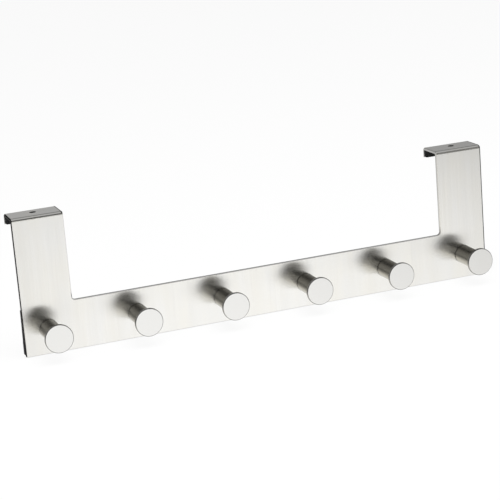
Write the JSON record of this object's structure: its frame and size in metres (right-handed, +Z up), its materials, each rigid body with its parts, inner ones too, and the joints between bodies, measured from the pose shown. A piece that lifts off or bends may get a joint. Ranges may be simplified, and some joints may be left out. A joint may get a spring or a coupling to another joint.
{
  "type": "over door hook",
  "caption": "Over-door hook rail: a U-shaped brushed steel plate folded over the top of a door, with a row of disc-headed pegs in front and black foam pads behind.",
  "frame": {"origin": "midway between the two flange holes, on the underside of the flanges, which sits on the top edge of the door", "axes": "+Z up, X along the width, -Y towards the room: the pegs point along -Y"},
  "size_m": [0.39, 0.054, 0.108],
  "materials": {
    "brushed_sheet": "brushed",
    "peg_steel": "turned, satin",
    "screw_steel": "zinc plated",
    "black_foam": "matt foam"
  },
  "bodies": {
    "root": {"back_plate": "brushed_sheet", "peg_1": "peg_steel", "peg_2": "peg_steel", "peg_3": "peg_steel", "peg_4": "peg_steel", "peg_5": "peg_steel", "peg_6": "peg_steel", "peg_screw_1": "screw_steel", "peg_screw_2": "screw_steel", "peg_screw_3": "screw_steel", "peg_screw_4": "screw_steel", "peg_screw_5": "screw_steel", "peg_screw_6": "screw_steel", "bar_pad": "black_foam", "lip_pad_left": "black_foam", "lip_pad_right": "black_foam"}
  },
  "joints": []
}
